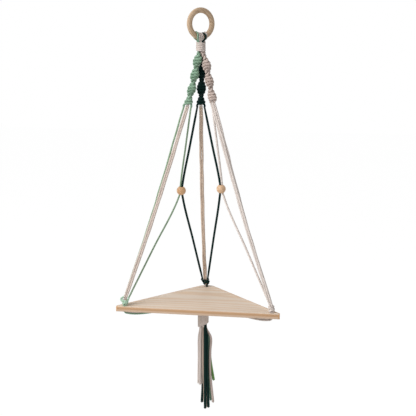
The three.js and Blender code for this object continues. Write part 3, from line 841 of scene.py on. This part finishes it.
# Strands under the board
# Below each hole the four strands turn and run in two layers along the underside to the middle.
# There they turn down again and go into the bottom wrap.
row_offset = 0.0043  # between neighbouring strands
gather = np.array([0.006, 0, 0])  # where the strands meet
upper_run = board_bottom - 0.0023
lower_run = upper_run - row_offset
inner_bend = 0.0034
outer_bend = inner_bend + row_offset
gather_reach = 1.02 * row_offset  # from the wrap's middle to its outer strands
bottom_low, bottom_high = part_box("bottom_wrap")
under_colors = {
    "left": ("white", "mint", "mint", "white"),
    "back": ("white", "dark", "white", "dark"),
    "right": ("white", "white", "white", "white"),
}
quarter = np.radians([0, 30, 60, 90])
for corner, colors in under_colors.items():
    hole = np.array([*holes[corner], 0])
    inward = gather - hole
    distance = np.linalg.norm(inward)
    inward /= distance
    lateral = np.array([-inward[1], inward[0], 0])
    for i, color in enumerate(colors):
        upper = i < 2
        offset = (-1 if i % 2 == 0 else 1) * row_offset / 2
        hole_bend, gather_bend = (inner_bend, outer_bend) if upper else (outer_bend, inner_bend)
        hole_centre = row_offset / 2 + inner_bend
        gather_centre = distance - gather_reach - outer_bend
        run_z = upper_run if upper else lower_run

        def spot(run, z, aside=offset):
            return hole + inward * run + lateral * aside + np.array([0, 0, z])

        points = [spot(hole_centre - hole_bend, board_top + knots[corner][1] - 0.0004)]
        for angle in quarter:
            back, down = hole_bend * math.cos(angle), hole_bend * math.sin(angle)
            points.append(spot(hole_centre - back, upper_run + inner_bend - down))
        points.append(spot((hole_centre + gather_centre) / 2, run_z))
        for angle in quarter:
            ahead, down = gather_bend * math.sin(angle), gather_bend * (1 - math.cos(angle))
            points.append(spot(gather_centre + ahead, run_z - down))
        reach = distance - gather_centre - gather_bend
        points.append(spot(distance - reach * 0.8, bottom_high.z, offset * 0.8))
        points.append(spot(distance - reach * 0.7, bottom_high.z - 0.006, offset * 0.7))
        name = f"{corner}_under_strand_{i + 1}"
        cord_piece(name + "_cord", [through(points)], color, "shelf", name)

# Bottom wrap
# The same winding, wider, gathers all the strands under the board, a little right of the middle.
# Its lower end comes out at the front as a small stub.
bottom_wrap_radius = 0.0112
wrap_rise = 0.0105
stub_step = 0.0006
coil_top, coil_bottom = bottom_high.z - wrap_cord, bottom_low.z + wrap_cord
coil = wound(bottom_wrap_radius, coil_top, coil_bottom, centre_x=gather[0], rise=wrap_rise)
cord_piece("bottom_wrap_cord", [coil], "white", "shelf", "bottom_wrap", radius=wrap_cord, lay=wrap_lay)
stub_points = ((0.0072, -0.0085, -0.7225), (0.0078, -0.0128, -0.7240), (0.0080, -0.0140, -0.7285))
stub = through(stub_points, stub_step)
cord_piece("bottom_wrap_stub", [stub], "white", "shelf", "bottom_wrap", radius=inner_cord)

# Tassel
# Below the wrap the cords hang free as thirteen tails of unequal length, cut off and slightly frayed.
# Each tail: its cord, and its route in millimetres from the wrap's foot, on or close to the solid tail's.
tails = {
    "white_tail_1": ("white", ((-6.6, -2.1, 0), (-9.6, -3, -20), (-10.4, -3.4, -70), (-11.3, -4, -143))),
    "white_tail_2": ("white", ((-4.1, -5.6, 0), (-5.6, -6.6, -20), (-6.1, -7, -70), (-6.8, -7.6, -145))),
    "white_tail_3": (
        "white", ((0, -6.9, 0), (0.5, -7.6, -25), (0.8, -7.8, -90), (3.2, -5, -155), (3.9, -4.4, -193))
    ),
    "dark_tail_1": ("dark", ((4.1, -5.6, 0), (5.4, -7.6, -22), (5.6, -8.4, -100), (6, -8.8, -207))),
    "dark_tail_2": (
        "dark", ((6.6, -2.1, 0), (9.8, -5.4, -22), (10.5, -6.4, -60), (10.8, -6.4, -100), (14.2, -7, -204))
    ),
    "white_tail_4": (
        "white", ((6.6, 2.1, 0), (18, -0.5, -24), (17.4, -1.6, -60), (17, -1.8, -105), (25, -3, -192))
    ),
    "mint_tail_1": (
        "mint", ((2.4, 2.2, 0), (12, 3.4, -24), (13.4, 3.2, -60), (13.6, 3, -110), (18.4, 2.4, -190))
    ),
    "white_tail_5": ("white", ((0, 6.9, 0), (3.4, 9.8, -50), (6, 10.4, -110), (7.4, 11.4, -182))),
    "mint_tail_2": ("mint", ((4.1, 5.6, 0), (12.4, 9.2, -45), (16.6, 9.2, -90), (24.6, 8.6, -139))),
    "dark_tail_3": (
        "dark", ((-4.1, 5.6, 0), (-3.6, 4.4, -50), (-2.4, 3.4, -110), (-1.6, 2.4, -150), (-3.4, 1.6, -196))
    ),
    "white_tail_6": ("white", ((-6.6, 2.1, 0), (-8, 2.4, -45), (-8.6, 3, -90), (-9, 3.6, -143))),
    "white_tail_7": ("white", ((-2.5, 0, 0), (-2.8, -1.8, -30), (-2.9, -2.4, -90), (-3.2, -2.2, -145))),
    "white_tail_8": ("white", ((1.3, -2.2, 0), (4, -2.6, -50), (8, -3.4, -110), (10.6, -3.6, -205))),
}

blade_count = 26
blade_length = 0.005
blade_radius = 0.00022
blade_root = 0.0015  # inside the cord
blade_curl = 2.2
tip_splay = 2.6


def frayed(end, ahead):
    """Loose fibres at a cut end: thin pointed blades that spread."""
    vertices, faces = [], []
    side = np.cross(ahead, (0.2, 0.9, 0.4))
    side /= np.linalg.norm(side)
    lift = np.cross(ahead, side)
    for _ in range(blade_count):
        angle = chance.uniform(0, 2 * math.pi)
        spread = cord_radius * 0.85 * math.sqrt(chance.uniform(0.05, 1))
        outward = math.cos(angle) * side + math.sin(angle) * lift
        along = np.cross(ahead, outward)
        reach = blade_length * chance.uniform(0.45, 1)
        splay = chance.uniform(0.02, 0.28)
        first = len(vertices)
        for share, width in ((0, 1), (0.4, 1), (0.8, 0.7)):
            out = spread * (1 + splay * share * share * blade_curl)
            middle = end + ahead * (reach * share - blade_root) + outward * out
            for turned in (0, 2.1, 4.2):
                offset = math.cos(turned) * outward + math.sin(turned) * along
                vertices.append((middle + offset * blade_radius * width).tolist())
        tip = end + ahead * (reach - blade_root) + outward * spread * (1 + splay * tip_splay)
        vertices.append(tip.tolist())
        for ring in (0, 3):
            for j in range(3):
                k = (j + 1) % 3
                faces.append((first + ring + j, first + ring + k, first + ring + 3 + k, first + ring + 3 + j))
        for j in range(3):
            faces.append((first + 6 + j, first + 6 + (j + 1) % 3, first + 9))
        faces.append((first + 2, first + 1, first))
    return vertices, faces


tail_top = np.array([gather[0], 0, -0.7335])
tail_radius = 0.0021
tail_lay = 0.016
tail_start = 11  # millimetres up inside the wrap
path_points = 24
# Painted shade: three tails take darker copies of their cottons, the third white tail a brown one.
tail_painted_shade_looks = {"mint_tail_2": "mint_tail", "white_tail_3": "shaded_white_tail", "white_tail_4": "white_sinnet"}
# Across the view, into it and along the cord
tail_swells = {
    "mint_tail_2": (1.7, 1.0, 1), "white_tail_4": (1.5, 1.05, 1),
    "white": (1.3, 1.05, 1), "mint": (1.3, 1.05, 1), "dark": (1.62, 1.12, 1),
}
gathered = []
for name, (color, shares) in tails.items():
    points = tail_top + np.vstack([[*shares[0][:2], tail_start], shares]) / 1000
    route = through(points)
    cord_end, ahead = route[-1], route[-1] - route[-3]
    ahead /= np.linalg.norm(ahead)
    look = tail_painted_shade_looks.get(name, color)
    swell = tail_swells.get(name, tail_swells[color])
    tail = cord_piece(
        name + "_cord", [route], color, "shelf", name,
        radius=tail_radius, lay=tail_lay, swell=swell, loose=True, look=look,
    )
    mesh = bpy.data.meshes.new(name + "_fray")
    vertices, faces = frayed(cord_end, ahead)
    mesh.from_pydata(vertices, [], faces)
    mesh.uv_layers.new(name="cord")
    mesh.materials.append(cottons[look])
    fray = bpy.data.objects.new(name + "_fray", mesh)
    bpy.context.collection.objects.link(fray)
    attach(fray, "shelf")
    path = route[:: max(1, len(route) // path_points)]
    path = np.vstack([path, route[-1]])
    length = float(np.linalg.norm(np.diff(path, axis=0), axis=1).sum())
    x, y, z = route[0]
    heights = (bottom_high.z - 0.001, -0.715, z - 0.001)
    gathered.append(through([(x, y, height) for height in heights], straight_step))
cord_piece("gathered_cords_bottom_bundle", gathered, "white", "shelf", "gathered_cords_bottom")

# Floor and light
# A plain pale floor far below the shelf, a soft key light at the upper left and a weaker one at the right.
# The floor and the sky show white to the camera, and light the shelf only at a plain level.
floor_glow = 1.04
glow_share = 0.93
sky_strength = 0.36
light_aim = np.array([0, 0, -0.45])
bpy.ops.object.select_all(action="DESELECT")
bpy.ops.mesh.primitive_plane_add(size=12, location=(0, 2, -1.25))
floor = bpy.context.object
floor.name = "floor"
backing = Finish("floor_paint", Base_Color=paint(1.0, 1.0, 1.0), Roughness=0.9, Specular_IOR_Level=0.1)
tree = backing.material.node_tree


def camera_rays(nodes, links):
    """1 for rays seen straight, in a reflection or through something clear."""
    path = nodes.new("ShaderNodeLightPath")
    total = path.outputs["Is Camera Ray"]
    for name in ("Is Glossy Ray", "Is Transmission Ray"):
        joined = nodes.new("ShaderNodeMath")
        joined.operation = "ADD"
        joined.use_clamp = True
        links.new(total, joined.inputs[0])
        links.new(path.outputs[name], joined.inputs[1])
        total = joined.outputs[0]
    return total


seen = Value(backing, camera_rays(tree.nodes, tree.links))
glow = backing.node("ShaderNodeEmission", None, {"Color": (1, 1, 1, 1), "Strength": floor_glow})
mixed = backing.node("ShaderNodeMixShader", None, {0: seen * glow_share, 2: glow})
tree.links.new(backing.shader.outputs[0], mixed.socket.node.inputs[1])
tree.links.new(mixed.socket, tree.nodes["Material Output"].inputs["Surface"])
floor.data.materials.append(backing.material)

world = bpy.data.worlds.new("studio")
bpy.context.scene.world = world
world.use_nodes = True
sky = world.node_tree
background = sky.nodes["Background"]
background.inputs["Color"].default_value = (1, 1, 1, 1)
seen_share = sky.nodes.new("ShaderNodeMapRange")
seen_share.inputs["To Min"].default_value = sky_strength
seen_share.inputs["To Max"].default_value = 1.0
sky.links.new(camera_rays(sky.nodes, sky.links), seen_share.inputs["Value"])
sky.links.new(seen_share.outputs[0], background.inputs["Strength"])


def soft_light(name, place, size, power):
    bpy.ops.object.light_add(type="AREA", location=place)
    lamp = bpy.context.object
    lamp.name = name
    lamp.data.size = size
    lamp.data.energy = power
    direction = light_aim - place
    pitch = math.atan2(math.hypot(direction[0], direction[1]), -direction[2])
    lamp.rotation_euler = (pitch, 0, math.atan2(-direction[0], direction[1]))


soft_light("key_light", (-2.0, -1.6, 1.5), size=2.2, power=84)
soft_light("fill_light", (2.2, -1.8, 0.2), size=1.6, power=5)
bpy.context.scene.view_settings.view_transform = "Standard"
